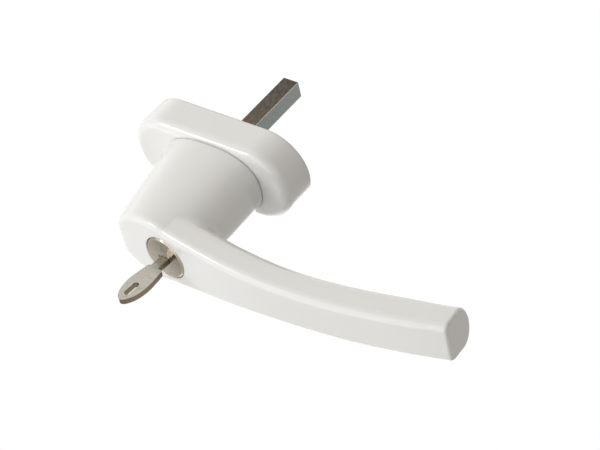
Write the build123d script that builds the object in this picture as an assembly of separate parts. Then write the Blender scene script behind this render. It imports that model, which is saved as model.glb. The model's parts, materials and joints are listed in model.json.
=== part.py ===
from build123d import *
import os
from math import asin, cos, degrees, pi, radians, sin, sqrt, tan

# Locking window handle with its rosette, square spindle and key. The model is drawn with the
# rosette's back face as its datum: x runs across the window, "up" runs along the closed grip
# and "depth" runs from the window frame into the room. At export that frame is turned so that
# up is +Z and depth is -Y. All lengths are in millimetres and all angles in degrees.

# Clearances
RUN = 0.05          # running fit, on the radius
LOOSE = 0.2         # parts that pass each other freely
SEAM = 0.25         # gap between the neck and the cover, and between the cover and its base
NEST = 0.05         # parts that are pushed together by hand
PAST = 1.0          # how far a cut runs past the face that it opens

# Square spindle
SPINDLE = 7.0
SPINDLE_OUT = 39.7
SPINDLE_IN = 40.0
SPINDLE_CHAMFER = 0.6
STRIP = (5.0, 0.6, 20.0)
STRIP_INSET = 2.0

# Journal around the spindle, with its bush, circlip and click stop
TENON_WALL = 1.5
TENON = SPINDLE + 2 * TENON_WALL
TENON_STEP = 1.5
JOURNAL_RADIUS = TENON / 2 + TENON_STEP
BUSH_WALL = 0.8
BUSH_FLANGE = 0.6
BUSH_REACH = 1.3
CAM_WALL = 3.0
CAM_SIZE = TENON + 2 * CAM_WALL
CAM_REACH = 1.9
CAM_CORNER = CAM_SIZE / 2 + CAM_REACH
CAM_DEPTH = 2.0
CAM_THICK = 3.8
LEAF_THICK = 0.6
LEAF_HEIGHT = 3.0
LEAF_PAST_CAM = 4.0
LEAF_LENGTH = CAM_SIZE + 2 * LEAF_PAST_CAM
LEAF_SAG = 1.2
LEAF_REST = 2.5
CLIP_THICK = 1.0
CLIP_GROOVE = 0.65
CLIP_REACH = 2.2
CLIP_RADIUS = JOURNAL_RADIUS + CLIP_REACH
CLIP_ROOM = 0.9
CLIP_CHAMBER = CLIP_RADIUS + CLIP_ROOM
CLIP_DEPTH = CAM_DEPTH + CAM_THICK + 2 * LOOSE
CLIP_GAP = 4.0
CLIP_EYE = 0.6
CLIP_EYE_WALL = 0.9

# Rosette
COVER_LENGTH = 73.7
COVER_WIDTH = 33.2
COVER_DEPTH = 15.0
COVER_WALL = 1.8
COVER_ROUND = 4.0
SCREW_SPACING = 43.0
SCREW_HOLE = 5.3
SCREW_HEAD = 10.0
POST_RADIUS = 6.2
LUG_RADIUS = 5.0
LUG_HEIGHT = 2.5
LUG_SHOULDER = 0.5
PLATE_THICK = 1.5
FLANGE_SINK = 5.5
FLANGE_DEPTH = COVER_DEPTH - FLANGE_SINK
BASE_WALL = 1.6
BOSS_WALL = 3.3
BOSS_RADIUS = CLIP_CHAMBER + BOSS_WALL
BOSS_SINK = 0.75
BOSS_DEPTH = COVER_DEPTH - BOSS_SINK
RIVET_RADIUS = 1.25
RIVET_INSET = 4.3
RIVET_X = 6.0
RIVET_HEAD = 2.25
RIVET_HEAD_THICK = 0.8
RIVET_SINK = 2.0
RIVET_DEPTH = FLANGE_DEPTH - RIVET_SINK
SNAP_LENGTH = 8.0
SNAP_PROUD = 0.7
SNAP_SINK = 2.3
SNAP_DEPTH = FLANGE_DEPTH - SNAP_SINK
SNAP_THICK = 1.4

# Front of the handle: a long bow, a straight face that leaves it at a tangent, and a tight arc
# over the head
BOW_DEPTH = 63.5
BOW_UP = -57.0
BOW_RADIUS = 285.0
FACE_START = -30.0
HEAD_TURN = 6.5
HEAD_RADIUS = 9.5
HEAD_STOP = 20.0
FRONT_ROUND = 2.8

# Neck column: depth, centre, half length, half width and squareness of its sections
NECK_BACK = COVER_DEPTH + SEAM
COLUMN = (
    (NECK_BACK, -2.9, 22.2, 15.1, 2.5),
    (BOW_DEPTH - 21.5, -6.0, 20.1, 15.0, 2.3),
    (BOW_DEPTH + 6.5, -8.7, 18.9, 14.7, 1.85),
)

# Grip: half width, thickness, and depth of the straight flank in front of the round back, from
# a little past the grip's end up to the head. The sections stand at even steps, or the loft
# swells between them.
GRIP_END = -135.8
GRIP_SPARE = 1.2
GRIP_LOW = GRIP_END - GRIP_SPARE
GRIP_TOP = -2.0
GRIP = (
    (9.0, 15.6, 9.3),
    (9.05, 15.7, 9.2),
    (9.05, 15.9, 9.0),
    (9.05, 15.3, 8.6),
    (9.1, 14.95, 8.2),
    (9.5, 15.1, 7.8),
    (10.4, 15.7, 7.6),
    (11.7, 16.2, 7.6),
    (13.4, 17.1, 8.4),
    (13.6, 18.0, 9.5),
)
GRIP_STEP = (GRIP_TOP - GRIP_LOW) / (len(GRIP) - 1)
GRIP_BEYOND = 6.0
END_TILT = 3.6
END_ROUND = 1.2
THROAT_ROUND = 5.0
THROAT_INSET = 0.02
THROAT_ZONE = (BOW_DEPTH - 37.5, BOW_DEPTH - 6.0, -50.0, -10.0)
HUB_PAD = 0.35
HUB_REACH = 1.1

# Key: the bow is given by its distance from the lock's face and its half width
KEY_THICK = 2.3
KEY_HEIGHT = 5.2
KEY_REACH = 16.4
KEY_STEM = 6.0
KEY_PLAY = (0.3, 0.4)
BOW_DROP = 1.5
BOW_LENGTH = 25.4
BOW = ((KEY_STEM, 3.3), (9.0, 3.9), (12.0, 4.35), (15.0, 4.6), (18.0, 4.45), (21.0, 3.8), (23.6, 2.5))
BOW_CORNER = 0.8
HANG_SLOT = (7.0, 2.4)
HANG_AT = 19.0
NOTCH = 0.8
KEYWAY = (KEY_THICK + KEY_PLAY[0], KEY_HEIGHT + KEY_PLAY[1])
KEYWAY_SPARE = 0.6
KEYWAY_END = KEY_REACH + KEYWAY_SPARE

# Lock: its axis leaves the front face almost square, so it tilts a little off the spindle
LOCK_UP = -14.2
LOCK_SINK = 2.4
LOCK_DEPTH = BOW_DEPTH - LOCK_SINK
LOCK_TILT = 5.5
THROW = 5.0
PLUG_RADIUS = 4.7
HOUSING_WALL = 2.3
HOUSING_RADIUS = PLUG_RADIUS + HOUSING_WALL
FACE_REACH = 2.15
FACE_RADIUS = HOUSING_RADIUS + FACE_REACH
FACE_THICK = 2.0
FACE_DOME = 0.35
FACE_BEVEL = 0.6
DOT_RADIUS = 0.35
DOT_OFFSET = 4.6
DOT_DEPTH = 0.1
WAFER_COUNT = 5
WAFER_FIRST = 4.4
WAFER_PITCH = 2.6
WAFER_THICK = 1.0
WAFER_RAIL = 1.5
WAFER_WIDTH = KEYWAY[0] + 2 * WAFER_RAIL
WAFER_LIFT = 0.7
EAR_SINK = 0.9
EAR_REACH = PLUG_RADIUS - EAR_SINK
EAR_TALL = 0.9
EAR_LOW = 0.3
SPRING_RADIUS = 0.42
SPRING_LENGTH = 2.6
KEY_TURN = 90.0

# Bolt drive: a cross pin in a helical slot of the plug and a straight slot of the housing
PIN_RADIUS = 1.0
PIN_START = 21.0
PIN_FOOT = 3.3
ROD_RADIUS = 2.3
ROD_NOSE = 1.8
ROD_START = PIN_START - ROD_NOSE
CAM_SLOPE = radians(KEY_TURN) * PLUG_RADIUS / THROW
CAM_PLAY = 0.06669
CAM_SLOT = 2 * (PIN_RADIUS * sqrt(1 + CAM_SLOPE ** 2) + CAM_PLAY)
HOUSING_GAP = 0.3
HOUSING_START = FACE_THICK + HOUSING_GAP
HOUSING_END = PIN_START + THROW + PIN_FOOT
PLUG_TAIL = 1.7
PLUG_END = HOUSING_END + PLUG_TAIL
TAIL_CLIP_THICK = 0.8
TAIL_CLIP_REACH = 1.6
TAIL_CLIP_RADIUS = PLUG_RADIUS + TAIL_CLIP_REACH
TAIL_GROOVE = 0.9
TAIL_CLIP_MOUTH = 6.0
FOOT_GAP = 2.0
FOOT_START = PLUG_END + FOOT_GAP
FOOT_THICK = 3.0
DOWEL_RADIUS = 1.25
DOWEL_LENGTH = 14.0

# Bolt's nose, its guide in the neck's back, and the pocket for its crank
NOSE_RADIUS = 1.8
NOSE_BELOW = 3.4
NOSE_UP = -(JOURNAL_RADIUS + NOSE_BELOW)
NOSE_PLAY = 0.45
NOSE_CHAMFER = 0.4
GUIDE_THICK = 3.0
GUIDE_SINK = 0.35
GUIDE_DEPTH = NECK_BACK + GUIDE_SINK
NOSE_SINK = 0.15
NOSE_REST = GUIDE_DEPTH - NOSE_SINK
GUIDE_LENGTH = 13.0
GUIDE_WALL = 2.4
GUIDE_WIDTH = 2 * (NOSE_RADIUS + GUIDE_WALL)
GUIDE_DROP = 3.3
GUIDE_UP = NOSE_UP - GUIDE_DROP
POCKET_PLAY = 1.4
POCKET_WIDTH = 2 * (NOSE_RADIUS + POCKET_PLAY)
POCKET_RISE = 2.5
POCKET_TOP = NOSE_UP + POCKET_RISE
POCKET_FALL = 7.2
POCKET_FOOT = LOCK_UP - POCKET_FALL
POCKET_LAP = 1.5
POCKET_DEPTH = LOCK_DEPTH - FOOT_START + POCKET_LAP

# Planes: ROOM turns (x, up, depth) into the world, LOCK places the lock in (x, up, depth)
ROOM = Plane(origin=(0, 0, 0), x_dir=(1, 0, 0), z_dir=(0, -1, 0))
LOCK = Plane(
    origin=(0, LOCK_UP, LOCK_DEPTH),
    x_dir=(1, 0, 0),
    z_dir=(0, sin(radians(LOCK_TILT)), cos(radians(LOCK_TILT))),
)


def rod(radius, start, end, x=0.0, up=0.0):
    return Pos(x, up, (start + end) / 2) * Cylinder(radius, abs(end - start))


def block(width, height, start, end, x=0.0, up=0.0):
    return Pos(x, up, (start + end) / 2) * Box(width, height, abs(end - start))


def stadium(length, width, start, end):
    return Pos(0, 0, start) * extrude(Rot(0, 0, 90) * SlotOverall(length, width), end - start)


def sunk(radius, start, end, x=0.0, up=0.0):
    """A cylinder in the lock's frame, given by distances behind the lock's face."""
    return rod(radius, -start, -end, x, up)


def lock_point(behind):
    """The up and depth of a point on the lock's axis."""
    tilt = radians(LOCK_TILT)
    return LOCK_UP - behind * sin(tilt), LOCK_DEPTH - behind * cos(tilt)


def front_depth(up):
    """Depth of the front face, along the bow and then along the straight face."""
    reach = min(up, FACE_START) - BOW_UP
    bow = BOW_DEPTH - BOW_RADIUS + sqrt(BOW_RADIUS ** 2 - reach ** 2)
    return bow - max(up - FACE_START, 0) * tan(asin(reach / BOW_RADIUS))


def rosette_cover():
    outer = stadium(COVER_LENGTH, COVER_WIDTH, 0, COVER_DEPTH)
    outer = fillet(outer.edges().group_by(Axis.Z)[-1], COVER_ROUND)
    inner_length = COVER_LENGTH - 2 * COVER_WALL
    inner_width = COVER_WIDTH - 2 * COVER_WALL
    inner = stadium(inner_length, inner_width, -PAST, COVER_DEPTH - COVER_WALL)
    inner = fillet(inner.edges().group_by(Axis.Z)[-1], COVER_ROUND - COVER_WALL)
    shell = outer - inner - rod(BOSS_RADIUS + SEAM, 0, COVER_DEPTH + PAST)
    for side in (-1, 1):
        x = side * inner_width / 2
        shell += block(2 * SNAP_PROUD, SNAP_LENGTH, SNAP_DEPTH - SNAP_THICK, SNAP_DEPTH, x)
    return shell


def base_size():
    inset = 2 * (COVER_WALL + SEAM)
    return COVER_LENGTH - inset, COVER_WIDTH - inset


def screw_places():
    return [side * SCREW_SPACING / 2 for side in (-1, 1)]


def rivet_places():
    end = base_size()[0] / 2 - RIVET_INSET
    return [(x, up) for x in (-RIVET_X, RIVET_X) for up in (-end, end)]


def nose_up(thrown):
    """Place of the bolt's nose, which drifts as the bolt follows the tilted lock."""
    return NOSE_UP + (0.5 - thrown) * THROW * sin(radians(LOCK_TILT))


def base_pockets():
    """Recesses that the casting leaves open towards its back plate."""
    length, width = base_size()
    hollow = stadium(length - 2 * BASE_WALL, width - 2 * BASE_WALL, PLATE_THICK, FLANGE_DEPTH - BASE_WALL)
    hollow -= block(width, 2 * (BOSS_RADIUS + PAST), PLATE_THICK, FLANGE_DEPTH)
    for up in screw_places():
        hollow -= rod(POST_RADIUS, PLATE_THICK, FLANGE_DEPTH, 0, up)
        hollow -= block(BASE_WALL, SCREW_SPACING, PLATE_THICK, FLANGE_DEPTH, 0, up)
    for x, up in rivet_places():
        hollow -= rod(RIVET_RADIUS + BASE_WALL, PLATE_THICK, FLANGE_DEPTH, x, up)
    return hollow


def snap_groove(x):
    """The slot in the casting's flank that a hook of the cover clicks into."""
    start = SNAP_DEPTH - SNAP_THICK - LOOSE
    return block(2 * (SNAP_PROUD - SEAM + LOOSE), SNAP_LENGTH + 2 * LOOSE, start, SNAP_DEPTH + LOOSE, x)


def click_chamber():
    """Room for the cam, the leaf springs and the circlip."""
    half = CAM_SIZE / 2 + LEAF_THICK + LEAF_SAG + 2 * RUN
    lifted = CAM_CORNER + LEAF_THICK + 2 * LOOSE
    chamber = block(2 * half, LEAF_LENGTH + 2 * LOOSE, PLATE_THICK, CLIP_DEPTH)
    chamber += block(2 * lifted, LEAF_LENGTH - 2 * LEAF_REST, PLATE_THICK, CLIP_DEPTH)
    return chamber + rod(CLIP_CHAMBER, CLIP_DEPTH, CLIP_DEPTH + CLIP_THICK + 2 * LOOSE)


def rosette_base():
    length, width = base_size()
    body = stadium(length, width, PLATE_THICK, FLANGE_DEPTH) + rod(BOSS_RADIUS, FLANGE_DEPTH, BOSS_DEPTH)
    body -= base_pockets()
    body -= click_chamber()
    body -= rod(JOURNAL_RADIUS + RUN + BUSH_WALL + NEST, CLIP_DEPTH, BOSS_DEPTH + PAST)
    for up in screw_places():
        body += rod(LUG_RADIUS, -LUG_HEIGHT, 0, 0, up)
        body += rod(LUG_RADIUS + LUG_SHOULDER, 0, PLATE_THICK, 0, up)
        sink = (SCREW_HEAD - SCREW_HOLE) / 2
        cone = Cone(SCREW_HOLE / 2, SCREW_HEAD / 2, sink)
        body -= rod(SCREW_HOLE / 2, -LUG_HEIGHT - PAST, FLANGE_DEPTH + PAST, 0, up)
        body -= Pos(0, up, FLANGE_DEPTH - sink / 2) * cone
    for side in (-1, 1):
        body -= rod(NOSE_RADIUS + NOSE_PLAY, BOSS_DEPTH - THROW, BOSS_DEPTH + PAST, 0, side * nose_up(1))
        body -= snap_groove(side * width / 2)
    for x, up in rivet_places():
        body -= rod(RIVET_RADIUS + NEST, PLATE_THICK, RIVET_DEPTH + LOOSE, x, up)
    return body


def back_plate():
    length, width = base_size()
    plate = stadium(length, width, 0, PLATE_THICK)
    plate -= rod(JOURNAL_RADIUS - LOOSE, -PAST, PLATE_THICK + PAST)
    for up in screw_places():
        plate -= rod(LUG_RADIUS + LUG_SHOULDER + NEST, -PAST, PLATE_THICK + PAST, 0, up)
    return plate - rivet_set(NEST, PLATE_THICK + PAST)


def rivet_set(grow, end):
    """Countersunk rivets, or with a value for grow the holes that take them."""
    rivets = []
    middle = RIVET_HEAD_THICK / 2
    for x, up in rivet_places():
        head = Pos(x, up, middle) * Cone(RIVET_HEAD + grow, RIVET_RADIUS + grow, RIVET_HEAD_THICK)
        rivets.append(head + rod(RIVET_RADIUS + grow, middle, end, x, up))
    return rivets


def bearing_bush():
    start = CLIP_DEPTH + CLIP_THICK + 2 * LOOSE
    sleeve = rod(JOURNAL_RADIUS + RUN + BUSH_WALL, start, BOSS_DEPTH)
    sleeve += rod(JOURNAL_RADIUS + BUSH_REACH, BOSS_DEPTH, BOSS_DEPTH + BUSH_FLANGE)
    return sleeve - rod(JOURNAL_RADIUS + RUN, start - PAST, NECK_BACK + PAST)


def retaining_circlip():
    start = CLIP_DEPTH + LOOSE
    end = start + CLIP_THICK
    root = JOURNAL_RADIUS - CLIP_GROOVE
    eye = CLIP_EYE + CLIP_EYE_WALL
    ring = rod(CLIP_RADIUS, start, end) - rod(root + RUN, start - PAST, end + PAST)
    ring -= block(CLIP_GAP, 2 * CLIP_RADIUS, start - PAST, end + PAST, 0, CLIP_RADIUS)
    for side in (-1, 1):
        x, up = side * (CLIP_GAP / 2 + eye), CLIP_RADIUS - eye
        ring += rod(eye, start, end, x, up)
        ring -= rod(CLIP_EYE, start - PAST, end + PAST, x, up)
    return ring


def detent_cam():
    end = CAM_DEPTH + CAM_THICK
    cam = block(CAM_SIZE, CAM_SIZE, CAM_DEPTH, end) & rod(CAM_CORNER, CAM_DEPTH, end)
    return cam - block(TENON + 2 * NEST, TENON + 2 * NEST, CAM_DEPTH - PAST, end + PAST)


def detent_springs():
    """Two leaf springs that lie on the cam's flats and bow out at their ends."""
    start = CAM_DEPTH + (CAM_THICK - LEAF_HEIGHT) / 2
    radius = (LEAF_LENGTH ** 2 / 4 + LEAF_SAG ** 2) / (2 * LEAF_SAG)
    leaves = []
    for side in (-1, 1):
        centre = side * (CAM_SIZE / 2 + RUN + radius)
        band = rod(radius, start, start + LEAF_HEIGHT, centre)
        band -= rod(radius - LEAF_THICK, start - PAST, start + LEAF_HEIGHT + PAST, centre)
        x = side * (CAM_SIZE / 2 + LEAF_LENGTH)
        span = block(2 * LEAF_LENGTH, LEAF_LENGTH, start, start + LEAF_HEIGHT, x)
        leaves.append(band & span)
    return leaves


def column_section(inset, depth, centre, half_up, half_x, power):
    """Closed superellipse curve across the neck."""
    steps = 24
    points = []
    for k in range(steps):
        angle = 2 * pi * k / steps
        c, s = cos(angle), sin(angle)
        x = abs(c) ** (2 / power) * (half_x - inset) * (1 if c >= 0 else -1)
        up = abs(s) ** (2 / power) * (half_up - inset) * (1 if s >= 0 else -1)
        points.append((x, up + centre))
    with BuildSketch(Plane.XY.offset(depth)) as section:
        with BuildLine():
            Spline(points, periodic=True)
        make_face()
    return section.sketch


def grip_section(inset, up, wide, thick, straight):
    """Straight flanks and a half-elliptical back; the front is cut to the bow afterwards."""
    face = front_depth(up)
    half = wide - inset
    beyond = BOW_DEPTH + GRIP_BEYOND
    plane = Plane(origin=(0, up, 0), x_dir=(1, 0, 0), z_dir=(0, -1, 0))
    with BuildSketch(plane) as section:
        with BuildLine():
            Line((half, face - straight), (half, beyond))
            Line((half, beyond), (-half, beyond))
            Line((-half, beyond), (-half, face - straight))
            EllipticalCenterArc((0, face - straight), half, thick - inset - straight, 180, arc_size=180)
        make_face()
    return section.sketch


def behind_front():
    """Everything behind the bow, the straight face and the arc that turns it over the head."""
    turn = asin((FACE_START - BOW_UP) / BOW_RADIUS)
    low = asin((GRIP_END - COVER_DEPTH - BOW_UP) / BOW_RADIUS)
    normal = Vector(sin(turn), cos(turn))
    centre = Vector(BOW_UP, BOW_DEPTH - BOW_RADIUS)
    shoulder = Vector(HEAD_TURN, front_depth(HEAD_TURN)) - normal * HEAD_RADIUS
    with BuildSketch(Plane.YZ) as side:
        with BuildLine():
            bow = CenterArc((centre.X, centre.Y), BOW_RADIUS, 90 - degrees(turn), degrees(turn - low))
            head_arc = 90 - HEAD_STOP - degrees(turn)
            cap = CenterArc((shoulder.X, shoulder.Y), HEAD_RADIUS, HEAD_STOP, head_arc)
            run = Vector(sin(radians(HEAD_STOP)), -cos(radians(HEAD_STOP))) * COVER_LENGTH
            brow = (cap @ 0) + run
            deep = brow.Y - COVER_LENGTH
            Polyline(cap @ 0, brow, (brow.X, deep), ((bow @ 1).X, deep), bow @ 1)
            Line(bow @ 0, cap @ 1)
        make_face()
    return extrude(side.sketch, 2 * COVER_WIDTH, both=True)


def neck_column(inset=0.0):
    return loft([column_section(inset, *row) for row in COLUMN])


def grip_bar(inset=0.0):
    bar = loft([grip_section(inset, GRIP_LOW + k * GRIP_STEP, *row) for k, row in enumerate(GRIP)])
    tilt = radians(END_TILT)
    end = Plane(
        origin=(0, GRIP_END, front_depth(GRIP_END)), x_dir=(1, 0, 0), z_dir=(0, -cos(tilt), -sin(tilt))
    )
    return bar - end * block(2 * COVER_WIDTH, 2 * COVER_WIDTH, 0, COVER_WIDTH)


def round_column(column):
    rim = column.edges().filter_by(lambda e: e.center().Z > NECK_BACK + 5 and e.geom_type != GeomType.LINE)
    return fillet(rim, FRONT_ROUND)


def round_bar(bar):
    flanks = bar.edges().filter_by(lambda e: e.length > 80 and e.center().Z > front_depth(e.center().Y) - 4)
    bar = fillet(flanks, FRONT_ROUND)
    return fillet(bar.faces().sort_by(Axis.Y)[0].edges(), END_ROUND)


def throat():
    """The blend between neck and grip, cut from a form that lies a hair inside both of them."""
    joined = (neck_column(THROAT_INSET) + grip_bar(THROAT_INSET)) & behind_front()
    start, end, low, high = THROAT_ZONE
    edges = joined.edges().filter_by(lambda e: low < e.center().Y < high and start < e.center().Z < end)
    blended = fillet(edges, THROAT_ROUND)
    return blended & block(2 * COVER_WIDTH, high - low, start, end, 0, (high + low) / 2)


def handle_form():
    """The neck column and the grip, rounded along the front and blended in the throat."""
    zone = behind_front()
    return round_column(neck_column() & zone) + round_bar(grip_bar() & zone) + throat()


def spindle_socket():
    width = SPINDLE + 2 * NEST
    return block(width, width, 0, SPINDLE_IN + LOOSE) + clamp_strip(NEST)


def clamp_strip(grow=0.0):
    """The flat spring that takes up the spindle's play, or with grow the slot that holds it."""
    width, thick, length = STRIP
    start = NECK_BACK + STRIP_INSET
    x = SPINDLE / 2 + NEST + thick / 2
    return block(thick + 2 * grow, width + 2 * grow, start - grow, start + length + grow, x)


def lock_cavity():
    """Everything that the casting leaves open for the lock, in the lock's frame."""
    cavity = sunk(FACE_RADIUS + SEAM, -FACE_RADIUS, FACE_THICK + LOOSE)
    cavity += sunk(HOUSING_RADIUS + NEST, FACE_THICK, HOUSING_END + LOOSE)
    cavity += sunk(TAIL_CLIP_RADIUS + LOOSE, HOUSING_END, FOOT_START)
    return cavity + dowel(NEST)


def bolt_cavity():
    """The pocket for the cranked bolt and the seat of its guide, open at the neck's back."""
    middle = (POCKET_TOP + POCKET_FOOT) / 2
    pocket = block(POCKET_WIDTH, POCKET_TOP - POCKET_FOOT, GUIDE_DEPTH, POCKET_DEPTH, 0, middle)
    seat = block(GUIDE_WIDTH + 2 * NEST, GUIDE_LENGTH + 2 * NEST, 0, GUIDE_DEPTH + GUIDE_THICK, 0, GUIDE_UP)
    return pocket + (seat & block(COVER_LENGTH, COVER_LENGTH, NECK_BACK - 2 * HUB_PAD, COVER_LENGTH))


def handle_body():
    journal_end = CAM_DEPTH + CAM_THICK + LOOSE
    clip = CLIP_DEPTH + LOOSE
    body = handle_form() + rod(JOURNAL_RADIUS + HUB_REACH, NECK_BACK - HUB_PAD, NECK_BACK + PAST)
    body -= bolt_cavity()
    journal = rod(JOURNAL_RADIUS, journal_end, NECK_BACK + PAST)
    groove = rod(JOURNAL_RADIUS + PAST, clip - NEST, clip + CLIP_THICK + NEST)
    journal -= groove - rod(JOURNAL_RADIUS - CLIP_GROOVE, 0, NECK_BACK)
    tenon = block(TENON, TENON, CAM_DEPTH - LOOSE, journal_end) & rod(JOURNAL_RADIUS, 0, NECK_BACK)
    body += journal + tenon
    return body - spindle_socket() - LOCK * lock_cavity()


def spindle():
    bar = block(SPINDLE, SPINDLE, -SPINDLE_OUT, SPINDLE_IN)
    return chamfer(bar.edges().group_by(Axis.Z)[0], SPINDLE_CHAMFER)


def lock_face():
    """Domed and bevelled disc on the front of the plug, with the keyway and an index dot."""
    with BuildSketch(Plane.XZ) as profile:
        with BuildLine():
            flat = FACE_RADIUS - FACE_BEVEL
            RadiusArc((0, FACE_DOME), (flat, 0), (flat ** 2 + FACE_DOME ** 2) / (2 * FACE_DOME))
            rim = (FACE_RADIUS, -FACE_BEVEL)
            Polyline((flat, 0), rim, (FACE_RADIUS, -FACE_THICK), (0, -FACE_THICK), (0, FACE_DOME))
        make_face()
    disc = revolve(profile.sketch, Axis.Z)
    disc -= block(*KEYWAY, -FACE_THICK - PAST, PAST)
    return disc - sunk(DOT_RADIUS, -PAST, DOT_DEPTH, DOT_OFFSET)


def wafer_places():
    return [WAFER_FIRST + k * WAFER_PITCH for k in range(WAFER_COUNT)]


def helical_slot():
    """Two opposed slots that turn a quarter while the cross pin travels the bolt's throw."""
    rate = KEY_TURN / THROW
    margin = PIN_RADIUS + RUN
    end = PIN_START + THROW + margin
    length = THROW + 2 * margin
    bar = Rectangle(4 * PLUG_RADIUS, CAM_SLOT)
    face = Pos(0, 0, -end) * Rot(0, 0, rate * (THROW + margin)) * bar
    return Solid.extrude_linear_with_rotation(face.face(), (0, 0, -end), (0, 0, length), -rate * length)


def lock_plug():
    plug = sunk(PLUG_RADIUS, FACE_THICK, PLUG_END)
    plug -= block(*KEYWAY, -KEYWAY_END, 0)
    for behind in wafer_places():
        half = WAFER_THICK / 2 + RUN
        plug -= block(WAFER_WIDTH + 2 * RUN, 3 * PLUG_RADIUS, -behind - half, -behind + half)
        low = EAR_LOW - SPRING_LENGTH - NEST
        high = EAR_LOW + EAR_TALL + WAFER_LIFT + RUN
        reach = EAR_REACH + RUN
        plug -= block(reach, high - low, -behind - half, -behind + half, reach / 2, (high + low) / 2)
    plug -= helical_slot()
    plug -= sunk(ROD_RADIUS + RUN, ROD_START - LOOSE, PLUG_END + PAST)
    groove = tail_clip_start() - NEST
    ring = sunk(PLUG_RADIUS + PAST, groove, groove + TAIL_CLIP_THICK + 2 * NEST)
    return plug - (ring - sunk(PLUG_RADIUS - TAIL_GROOVE, HOUSING_END, PLUG_END))


def tail_clip_start():
    return HOUSING_END + 2 * LOOSE


def plug_clip():
    start = tail_clip_start()
    end = start + TAIL_CLIP_THICK
    root = PLUG_RADIUS - TAIL_GROOVE + RUN
    clip = sunk(TAIL_CLIP_RADIUS, start, end) - sunk(root, start - PAST, end + PAST)
    mouth = block(TAIL_CLIP_MOUTH, TAIL_CLIP_RADIUS, -end - PAST, -start + PAST)
    return clip - Pos(0, -TAIL_CLIP_RADIUS / 2, 0) * mouth


def wafers():
    plates = []
    for behind in wafer_places():
        start, end = -behind - WAFER_THICK / 2, -behind + WAFER_THICK / 2
        plate = block(WAFER_WIDTH, 3 * PLUG_RADIUS, start, end) & rod(PLUG_RADIUS - 2 * RUN, start, end)
        plate += block(EAR_REACH, EAR_TALL, start, end, EAR_REACH / 2, EAR_LOW + EAR_TALL / 2)
        window = block(KEYWAY[0] + 2 * RUN, KEY_HEIGHT + WAFER_LIFT + 2 * LOOSE, start - PAST, end + PAST)
        plates.append(plate - window)
    return Compound(plates)


def wafer_springs():
    coils = []
    for behind in wafer_places():
        x = (WAFER_WIDTH / 2 + RUN + EAR_REACH) / 2
        coil = Rot(90, 0, 0) * Cylinder(SPRING_RADIUS, SPRING_LENGTH)
        coils.append(Pos(x, EAR_LOW - SPRING_LENGTH / 2, -behind) * coil)
    return Compound(coils)


def dowel(grow=0.0):
    side = HOUSING_RADIUS * sin(pi / 4)
    return sunk(DOWEL_RADIUS + grow, HOUSING_END - DOWEL_LENGTH - grow, HOUSING_END + grow, side, side)


def lock_housing():
    tube = sunk(HOUSING_RADIUS, HOUSING_START, HOUSING_END)
    tube -= sunk(PLUG_RADIUS + RUN, 0, HOUSING_END + PAST)
    reach = 2 * (PLUG_RADIUS + WAFER_LIFT + LOOSE)
    width = WAFER_WIDTH + 2 * LOOSE
    tube -= block(width, reach, -KEYWAY_END, 0) + block(reach, width, -KEYWAY_END, 0)
    margin = PIN_RADIUS + LOOSE
    first, last = PIN_START - margin, PIN_START + THROW + margin
    tube -= block(3 * HOUSING_RADIUS, 2 * (PIN_RADIUS + 2 * RUN), -last, -first)
    return tube - dowel(NEST)


def bolt_drive_pin(grow=0.0):
    length = 2 * (HOUSING_RADIUS - 2 * LOOSE)
    return Pos(0, 0, -PIN_START) * Rot(0, 90, 0) * Cylinder(PIN_RADIUS + grow, length)


def locking_bolt():
    """A rod inside the plug, cranked towards the spindle so that its nose clears the screws."""
    axis_up = lock_point(FOOT_START + FOOT_THICK / 2)[0]
    crank = (nose_up(0) - axis_up) / cos(radians(LOCK_TILT))
    end = FOOT_START + FOOT_THICK
    bolt = sunk(ROD_RADIUS, ROD_START, end) + sunk(NOSE_RADIUS + LOOSE, FOOT_START, end, 0, crank)
    bolt += block(2 * (NOSE_RADIUS + LOOSE), crank, -end, -FOOT_START, 0, crank / 2)
    bolt = LOCK * (bolt - bolt_drive_pin(NEST))
    nose = rod(NOSE_RADIUS, NOSE_REST, lock_point(FOOT_START + FOOT_THICK / 2)[1], 0, nose_up(0))
    return bolt + chamfer(nose.edges().group_by(Axis.Z)[0], NOSE_CHAMFER)


def bolt_guide():
    plate = block(GUIDE_WIDTH, GUIDE_LENGTH, GUIDE_DEPTH, GUIDE_DEPTH + GUIDE_THICK, 0, GUIDE_UP)
    drift = nose_up(0) - nose_up(1)
    gap = NOSE_RADIUS + 2 * RUN
    hole = rod(gap, 0, COVER_LENGTH, 0, nose_up(0)) + rod(gap, 0, COVER_LENGTH, 0, nose_up(1))
    return plate - hole - block(2 * gap, drift, 0, COVER_LENGTH, 0, NOSE_UP)


def key_bow():
    """Flat oval bow with its hanging slot, hung a little below the blade."""
    side = [(half, out) for out, half in BOW] + [(0, BOW_LENGTH)]
    with BuildSketch(Plane.YZ) as outline:
        with BuildLine():
            right = Spline(side, tangents=[(0.3, 1), (-1, 0)])
            mirror(right, about=Plane.YZ)
            Line(side[0], (-side[0][0], side[0][1]))
        make_face()
        with Locations((0, HANG_AT)):
            SlotOverall(*HANG_SLOT, rotation=90, mode=Mode.SUBTRACT)
    bow = extrude(outline.sketch, KEY_THICK / 2, both=True)
    corners = bow.edges().filter_by(Axis.X).group_by(Axis.Z)[0]
    return Pos(0, -BOW_DROP, 0) * fillet(corners, BOW_CORNER)


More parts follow.
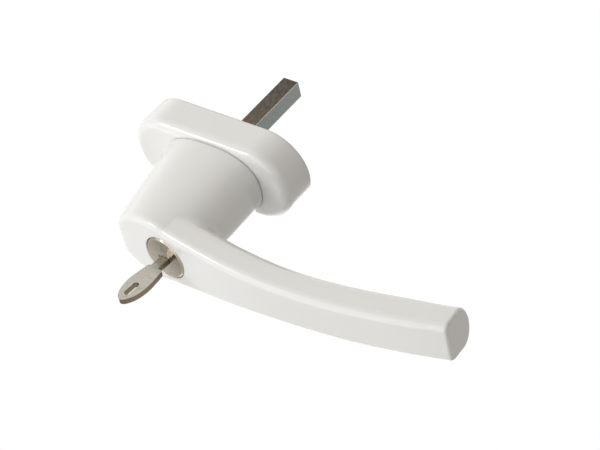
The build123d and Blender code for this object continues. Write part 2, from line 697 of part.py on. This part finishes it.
def key():
    """Flat key: a notched blade in the plug, a stem flush with the bow's upper edge, and the bow."""
    blade = block(KEY_THICK, KEY_HEIGHT, -KEY_REACH, FACE_DOME)
    for behind in wafer_places():
        blade -= Pos(0, KEY_HEIGHT / 2, -behind) * Rot(45, 0, 0) * Box(2 * KEY_THICK, NOTCH, NOTCH)
    blade -= Pos(0, KEY_HEIGHT / 2, -KEY_REACH) * Rot(45, 0, 0) * Box(2 * KEY_THICK, 3 * NOTCH, 3 * NOTCH)
    low, high = -KEY_HEIGHT / 2, BOW[0][1] - BOW_DROP - BOW_CORNER
    stem = block(KEY_THICK, high - low, 0, KEY_STEM + BOW_CORNER, 0, (high + low) / 2)
    return blade + stem + key_bow()


def main():
    os.makedirs("parts", exist_ok=True)
    pieces = {
        "rosette_cover": rosette_cover(),
        "rosette_base": rosette_base(),
        "back_plate": back_plate(),
        "plate_rivets": Compound(rivet_set(0, RIVET_DEPTH)),
        "bearing_bush": bearing_bush(),
        "retaining_circlip": retaining_circlip(),
        "detent_cam": detent_cam(),
        "detent_springs": Compound(detent_springs()),
        "handle_body": handle_body(),
        "square_spindle": spindle(),
        "spindle_clamp_spring": clamp_strip(),
        "lock_housing": LOCK * lock_housing(),
        "lock_retaining_pin": LOCK * dowel(),
        "lock_face": LOCK * lock_face(),
        "lock_plug": LOCK * lock_plug(),
        "plug_clip": LOCK * plug_clip(),
        "wafers": LOCK * wafers(),
        "wafer_springs": LOCK * wafer_springs(),
        "locking_bolt": locking_bolt(),
        "bolt_drive_pin": LOCK * bolt_drive_pin(),
        "bolt_guide": bolt_guide(),
        "key": LOCK * key(),
    }
    for name, shape in pieces.items():
        export_step(ROOM * shape, f"parts/{name}.step")


main()
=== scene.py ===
import json
import bpy
from mathutils import Matrix, Vector

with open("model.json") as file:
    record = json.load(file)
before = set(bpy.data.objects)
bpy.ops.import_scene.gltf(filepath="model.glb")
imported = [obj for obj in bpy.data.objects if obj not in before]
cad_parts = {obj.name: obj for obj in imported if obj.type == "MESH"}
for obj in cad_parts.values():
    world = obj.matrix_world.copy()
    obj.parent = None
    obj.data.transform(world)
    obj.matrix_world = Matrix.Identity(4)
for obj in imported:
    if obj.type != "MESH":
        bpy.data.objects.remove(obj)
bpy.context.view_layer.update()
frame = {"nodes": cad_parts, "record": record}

# Finishes and stage of the locking window handle. The CAD solids are used as they are. Lengths
# are in metres, colours are linear, and a ramp is a list of (position, value) stops.

NODES = frame["nodes"]

# Powder coat. Its roughness stays on one side of 0.27, which the denoiser would show as spots.
COAT_TONE = [(0.35, (0.856, 0.857, 0.846)), (0.65, (0.868, 0.868, 0.86))]
COAT_ROUGHNESS = [(0.3, 0.20), (0.7, 0.255)]
COAT_EDGE = 0.0011

# Zinc plate: the film's tint follows each face's direction, partly its own colour, partly painted
# shade and light:
# darker brown on faces across X, paler blue-green on faces across Z; towards the spindle's free end
# the brown darkens and the blue-green turns paler
BROWN_FILM_AND_SHADE = [(0.38, (0.112, 0.060, 0.034)), (0.62, (0.062, 0.068, 0.041))]
BROWN_AND_SHADE_AT_END = (0.044, 0.033, 0.027)
BLUE_FILM_AND_LIGHT = [(0.38, (0.168, 0.182, 0.122)), (0.62, (0.135, 0.218, 0.232))]
BLUE_AND_LIGHT_AT_END = (0.228, 0.237, 0.234)
FREE_END = 0.04
PLAIN_ZINC = (0.38, 0.38, 0.365)
ZINC_GRAIN = (0.24, 0.23, 0.22)
ZINC_SPECKS = (0.05, 0.045, 0.038)
# Bare worn plating with a painted highlight, along the sharp edges
WORN_AND_HIGHLIT_ZINC = (0.66, 0.61, 0.53)
ZINC_EDGE = 0.0005

# Nickel of the key and of the lock's disc: bright and worn, and for the key a dark brown painted shade
# on its edge faces
KEY_NICKEL_AND_SIDE_SHADE = ((0.375, 0.355, 0.315), (0.335, 0.315, 0.275), (0.17, 0.135, 0.10))
DISC_NICKEL = ((0.395, 0.353, 0.288), (0.34, 0.30, 0.238))
NICKEL_MARKS = (0.16, 0.13, 0.08)
NICKEL_EDGE = 0.0002

# Camera, fitted to the photograph
CAMERA_AT = Vector((0.727094, -0.610130, -0.639139))
CAMERA_RIGHT = Vector((-0.17553, 0.58121, -0.79460))
CAMERA_DOWN = Vector((-0.73176, -0.61696, -0.28963))
CAMERA_LENS = 180.0
SENSOR_WIDTH = 36.0
CLIP_RANGE = (0.01, 120.0)

# Floor, below every camera that looks up at the handle
FLOOR_Z = -1.4
FLOOR_HALF = 40.0
FLOOR_COLOR = (0.37, 0.36, 0.338)
FLOOR_SEEN_COLOR = (0.88, 0.89, 0.91)
FLOOR_GLOW = 0.5

# World: a warm fill for what it lights, and white where it is seen, dimmer high over the room
# side. Each fade is (start, end, reach) along one axis of the direction.
WHITE = (1, 1, 1, 1)
FILL_COLOR = (1.0, 0.962, 0.895, 1)
FILL_STRENGTH = 0.44
DIM_UP = (0.25, 0.5, 1.0)
DIM_TO_ROOM = (-0.32, -0.55, 0.5)

# Lamps: place, diameter, power in watts and colour
LAMPS = {
    "key": ((0.3, -1.38, 0.48), 2.8, 21.3, (0.975, 0.987, 1.0)),
    "edge": ((1.05, -1.15, 1.0), 0.36, 4.0, (1.0, 1.0, 1.0)),
    "side": ((-1.4, 0.25, 0.5), 1.8, 8.0, (1.0, 1.0, 1.0)),
    "over": ((1.3, 0.85, 0.9), 4.4, 21.0, (1.0, 0.975, 0.93)),
}
LAMP_AIM = Vector((0, -0.03, -0.05))


# Nodes

def add_node(tree, kind, inputs=None, **props):
    """A new node whose inputs are given as values or as the sockets that feed them."""
    node = tree.nodes.new(kind)
    for key, value in props.items():
        setattr(node, key, value)
    for key, value in (inputs or {}).items():
        if isinstance(value, bpy.types.NodeSocket):
            tree.links.new(value, node.inputs[key])
        else:
            node.inputs[key].default_value = value
    return node


def math(tree, operation, a, b):
    return add_node(tree, "ShaderNodeMath", {0: a, 1: b}, operation=operation).outputs[0]


class Build:
    """A new material with its Principled shader and short calls for its nodes."""

    def __init__(self, name, color, metallic=0.0, roughness=0.5):
        self.material = bpy.data.materials.new(name)
        self.material.use_nodes = True
        self.tree = self.material.node_tree
        self.shader = self.tree.nodes["Principled BSDF"]
        self.set(Base_Color=(*color, 1), Metallic=metallic, Roughness=roughness)

    def set(self, **values):
        for key, value in values.items():
            self.shader.inputs[key.replace("_", " ")].default_value = value
        return self

    def feed(self, name, socket):
        self.tree.links.new(socket, self.shader.inputs[name])
        return self

    def node(self, kind, inputs=None, **props):
        return add_node(self.tree, kind, inputs, **props)

    def place(self, scale=(1, 1, 1)):
        """Object coordinates, stretched by scale."""
        coords = self.node("ShaderNodeTexCoord").outputs["Object"]
        return self.node("ShaderNodeMapping", {"Vector": coords, "Scale": scale}).outputs["Vector"]

    def noise(self, scale, detail=3.0, stretch=(1, 1, 1), rough=0.5):
        values = {"Vector": self.place(stretch), "Scale": scale, "Detail": detail, "Roughness": rough}
        return self.node("ShaderNodeTexNoise", values).outputs["Fac"]

    def ramp(self, fac, stops):
        ramp = self.node("ShaderNodeValToRGB", {"Fac": fac})
        elements = ramp.color_ramp.elements
        while len(elements) < len(stops):
            elements.new(0.5)
        for element, (at, value) in zip(elements, stops):
            element.position = at
            element.color = (*value, 1) if isinstance(value, tuple) else (value, value, value, 1)
        return ramp.outputs["Color"]

    def mix(self, fac, a, b):
        node = self.node("ShaderNodeMix", data_type="RGBA")
        for name, value in (("Factor", fac), ("A", a), ("B", b)):
            socket = node.inputs[name]
            if isinstance(value, bpy.types.NodeSocket):
                self.tree.links.new(value, socket)
            else:
                socket.default_value = (*value, 1) if isinstance(value, tuple) else value
        return node.outputs["Result"]

    def facing(self, axis):
        """1 on faces across the axis, 0 on faces along it."""
        normal = self.node("ShaderNodeTexCoord").outputs["Normal"]
        along = self.node("ShaderNodeSeparateXYZ", {"Vector": normal}).outputs[axis]
        return self.node("ShaderNodeMath", {0: along}, operation="ABSOLUTE").outputs[0]

    def soft_edges(self, radius):
        """Shades sharp edges as if they were rounded, and gives a mask of them."""
        rounded = self.node("ShaderNodeBevel", {"Radius": radius}, samples=6).outputs["Normal"]
        self.feed("Normal", rounded)
        plain = self.node("ShaderNodeNewGeometry").outputs["Normal"]
        dot = self.node("ShaderNodeVectorMath", {0: rounded, 1: plain}, operation="DOT_PRODUCT")
        return self.ramp(dot.outputs["Value"], [(0.80, 1.0), (0.97, 0.0)])

    def bump(self, height, strength, distance):
        values = {"Height": height, "Strength": strength, "Distance": distance}
        if self.shader.inputs["Normal"].links:
            values["Normal"] = self.shader.inputs["Normal"].links[0].from_socket
        return self.feed("Normal", self.node("ShaderNodeBump", values).outputs["Normal"])


# Materials

def white_coat():
    """Gloss white powder coat: a faint orange peel and hardly any change of tone."""
    coat = Build("white_coat", (0.86, 0.86, 0.85), roughness=0.26)
    coat.feed("Base Color", coat.ramp(coat.noise(30, 2), COAT_TONE))
    coat.feed("Roughness", coat.ramp(coat.noise(90, 2), COAT_ROUGHNESS))
    coat.soft_edges(COAT_EDGE)
    coat.bump(coat.noise(380, 1.0), 0.1, 0.00006)
    return coat.set(Coat_Weight=0.45, Coat_Roughness=0.05).material


def zinc_film_and_face_shade(zinc):
    """Painted shade and light by face direction over the film's tint: darker brown across X, paler
    blue-green across Z, plain across Y.
    """
    tint = zinc.noise(420, 3, rough=0.6)
    reach = zinc.node("ShaderNodeSeparateXYZ", {"Vector": zinc.place()}).outputs["Y"]
    outward = fade(zinc.tree, reach, 0.0, FREE_END, 1.0)
    shaded_brown = zinc.mix(outward, zinc.ramp(tint, BROWN_FILM_AND_SHADE), BROWN_AND_SHADE_AT_END)
    lit_blue = zinc.mix(outward, zinc.ramp(tint, BLUE_FILM_AND_LIGHT), BLUE_AND_LIGHT_AT_END)
    # Painted shade and light: faces across X get the darker brown, faces across Z the paler
    # blue-green.
    film_and_shade = zinc.mix(zinc.ramp(zinc.facing("Z"), [(0.2, 0.0), (0.8, 1.0)]), shaded_brown, lit_blue)
    return zinc.mix(zinc.ramp(zinc.facing("Y"), [(0.3, 0.0), (0.9, 1.0)]), film_and_shade, PLAIN_ZINC)


def zinc_steel():
    """Zinc plate: a tinted film with painted shade and light by face, a fine grain, dark specks, and
    bare worn edges with a painted highlight.
    """
    zinc = Build("zinc_steel", (0.24, 0.23, 0.21), metallic=1.0, roughness=0.4)
    film_and_shade = zinc_film_and_face_shade(zinc)
    grain = zinc.noise(1500, 4, stretch=(1, 0.35, 1), rough=0.7)
    film_and_shade = zinc.mix(zinc.ramp(grain, [(0.4, 0.0), (0.75, 0.4)]), film_and_shade, ZINC_GRAIN)
    specks = zinc.ramp(zinc.noise(1900, 4, rough=0.7), [(0.32, 0.45), (0.5, 0.0)])
    film_and_shade = zinc.mix(specks, film_and_shade, ZINC_SPECKS)
    zinc.feed("Roughness", zinc.ramp(grain, [(0.3, 0.3), (0.75, 0.5)]))
    # Sharp edges: bare worn plating together with a painted highlight.
    zinc.feed("Base Color", zinc.mix(zinc.soft_edges(ZINC_EDGE), film_and_shade, WORN_AND_HIGHLIT_ZINC))
    zinc.bump(grain, 0.2, 0.0001)
    return zinc.bump(zinc.noise(2600, 3, stretch=(1, 0.02, 1)), 0.25, 0.00006).material


def spring_steel():
    """Plain rolled steel with a mottled film."""
    steel = Build("spring_steel", (0.36, 0.36, 0.37), metallic=1.0, roughness=0.4)
    steel.feed("Base Color", steel.mix(steel.noise(300, 4), (0.30, 0.30, 0.33), (0.46, 0.45, 0.43)))
    return steel.bump(steel.noise(3000, 2, stretch=(1, 1, 0.05)), 0.2, 0.00005).material


def nickel(name, bright, worn, side_shade=None):
    """Satin nickel with faint scratches and wandering marks, and, if one is given, a dark brown
    painted shade on the faces not across X.
    """
    plate = Build(name, bright, metallic=1.0, roughness=0.2)
    wear = plate.noise(240, 4, rough=0.6)
    marks = plate.ramp(plate.noise(150, 1.5), [(0.485, 0.0), (0.5, 0.35), (0.515, 0.0)])
    color = plate.mix(marks, plate.mix(wear, bright, worn), NICKEL_MARKS)
    if side_shade:
        # Painted shade: the faces not across X, the key's edges, get the dark brown.
        color = plate.mix(plate.ramp(plate.facing("X"), [(0.4, 1.0), (0.85, 0.0)]), color, side_shade)
    plate.feed("Base Color", color)
    plate.soft_edges(NICKEL_EDGE)
    plate.feed("Roughness", plate.ramp(wear, [(0.35, 0.17), (0.7, 0.26)]))
    return plate.bump(plate.noise(1800, 2, stretch=(1, 0.15, 1)), 0.05, 0.00004).material


def brass():
    """Turned brass with fine rings."""
    metal = Build("brass", (0.72, 0.56, 0.28), metallic=1.0, roughness=0.3)
    metal.feed("Base Color", metal.mix(metal.noise(260, 4), (0.66, 0.50, 0.25), (0.78, 0.63, 0.34)))
    return metal.bump(metal.noise(2400, 2, stretch=(0.1, 1, 0.1)), 0.25, 0.00006).material


def die_cast():
    """Die-cast aluminium with its cast skin."""
    cast = Build("die_cast", (0.55, 0.55, 0.56), metallic=1.0, roughness=0.5)
    skin = cast.noise(700, 4)
    cast.feed("Base Color", cast.mix(cast.noise(90, 3), (0.50, 0.50, 0.51), (0.62, 0.62, 0.62)))
    cast.feed("Roughness", cast.ramp(skin, [(0.3, 0.4), (0.7, 0.6)]))
    return cast.bump(skin, 0.3, 0.0002).material


def acetal():
    """Moulded white acetal, a little translucent."""
    plastic = Build("bearing_plastic", (0.80, 0.80, 0.77), roughness=0.45)
    plastic.feed("Roughness", plastic.ramp(plastic.noise(800, 3), [(0.3, 0.38), (0.7, 0.52)]))
    plastic.bump(plastic.noise(1500, 2), 0.1, 0.0001)
    return plastic.set(Subsurface_Weight=0.05, Subsurface_Scale=0.001).material


def paint_nodes():
    """Each node gets its slot's material, and the disc its own nickel."""
    made = {
        "white_coat": white_coat(),
        "zinc_steel": zinc_steel(),
        "spring_steel": spring_steel(),
        "brass": brass(),
        "die_cast": die_cast(),
        "bearing_plastic": acetal(),
        "nickel": nickel("nickel", *KEY_NICKEL_AND_SIDE_SHADE),
    }
    for part in frame["record"]["subparts"]:
        node = NODES[part["node"]]
        node.data.materials.clear()
        node.data.materials.append(made[part["material_slot"]])
    NODES["lock_face"].data.materials[0] = nickel("lock_nickel", *DISC_NICKEL)


# Stage

def add_camera():
    data = bpy.data.cameras.new("camera")
    data.sensor_width = SENSOR_WIDTH
    data.lens = CAMERA_LENS
    data.clip_start, data.clip_end = CLIP_RANGE
    camera = bpy.data.objects.new("camera", data)
    bpy.context.collection.objects.link(camera)
    right = CAMERA_RIGHT.normalized()
    up = -(CAMERA_DOWN - CAMERA_DOWN.dot(right) * right).normalized()
    turn = Matrix((right, up, right.cross(up))).transposed().to_4x4()
    camera.matrix_world = Matrix.Translation(CAMERA_AT) @ turn
    bpy.context.scene.camera = camera


def seen_directly(tree):
    """1 for the rays that see the background: the camera's, and those of metal and glass."""
    path = add_node(tree, "ShaderNodeLightPath").outputs
    either = math(tree, "MAXIMUM", path["Is Camera Ray"], path["Is Glossy Ray"])
    return math(tree, "MAXIMUM", either, path["Is Transmission Ray"])


def fade(tree, value, start, end, reach):
    """Goes from 0 at start to reach at end."""
    values = {"Value": value, "From Min": start, "From Max": end, "To Max": reach}
    return add_node(tree, "ShaderNodeMapRange", values).outputs["Result"]


def add_floor():
    """A plain pale floor that keeps the shadow and is seen nearly as white as the world."""
    mesh = bpy.data.meshes.new("floor")
    signs = ((-1, -1), (1, -1), (1, 1), (-1, 1))
    mesh.from_pydata([(x * FLOOR_HALF, y * FLOOR_HALF, FLOOR_Z) for x, y in signs], [], [(0, 1, 2, 3)])
    floor = bpy.data.objects.new("floor", mesh)
    bpy.context.collection.objects.link(floor)
    paper = Build("floor", FLOOR_COLOR, roughness=0.8)
    seen = seen_directly(paper.tree)
    paper.feed("Base Color", paper.mix(seen, FLOOR_COLOR, FLOOR_SEEN_COLOR))
    paper.set(Emission_Color=WHITE)
    paper.feed("Emission Strength", math(paper.tree, "MULTIPLY", seen, FLOOR_GLOW))
    mesh.materials.append(paper.material)


def add_world():
    world = bpy.data.worlds.new("studio")
    world.use_nodes = True
    bpy.context.scene.world = world
    tree = world.node_tree
    toward = add_node(tree, "ShaderNodeTexCoord").outputs["Generated"]
    axes = add_node(tree, "ShaderNodeSeparateXYZ", {"Vector": toward}).outputs
    dim = math(tree, "MULTIPLY", fade(tree, axes["Z"], *DIM_UP), fade(tree, axes["Y"], *DIM_TO_ROOM))
    white = {"Color": WHITE, "Strength": math(tree, "SUBTRACT", 1.0, dim)}
    fill = {"Color": FILL_COLOR, "Strength": FILL_STRENGTH}
    lit, seen = (add_node(tree, "ShaderNodeBackground", values).outputs[0] for values in (fill, white))
    mix = add_node(tree, "ShaderNodeMixShader", {0: seen_directly(tree), 1: lit, 2: seen})
    tree.links.new(mix.outputs[0], tree.nodes["World Output"].inputs["Surface"])


def add_lamp(name, at, diameter, power, color):
    data = bpy.data.lights.new(name, "AREA")
    data.shape = "DISK"
    data.size = diameter
    data.energy = power
    data.color = color
    lamp = bpy.data.objects.new(name, data)
    bpy.context.collection.objects.link(lamp)
    lamp.location = at
    lamp.rotation_euler = (LAMP_AIM - Vector(at)).to_track_quat("-Z", "Y").to_euler()


paint_nodes()
add_camera()
add_floor()
add_world()
for name, (at, diameter, power, color) in LAMPS.items():
    add_lamp(name, at, diameter, power, color)

scene = bpy.context.scene
scene.view_settings.view_transform = "Standard"
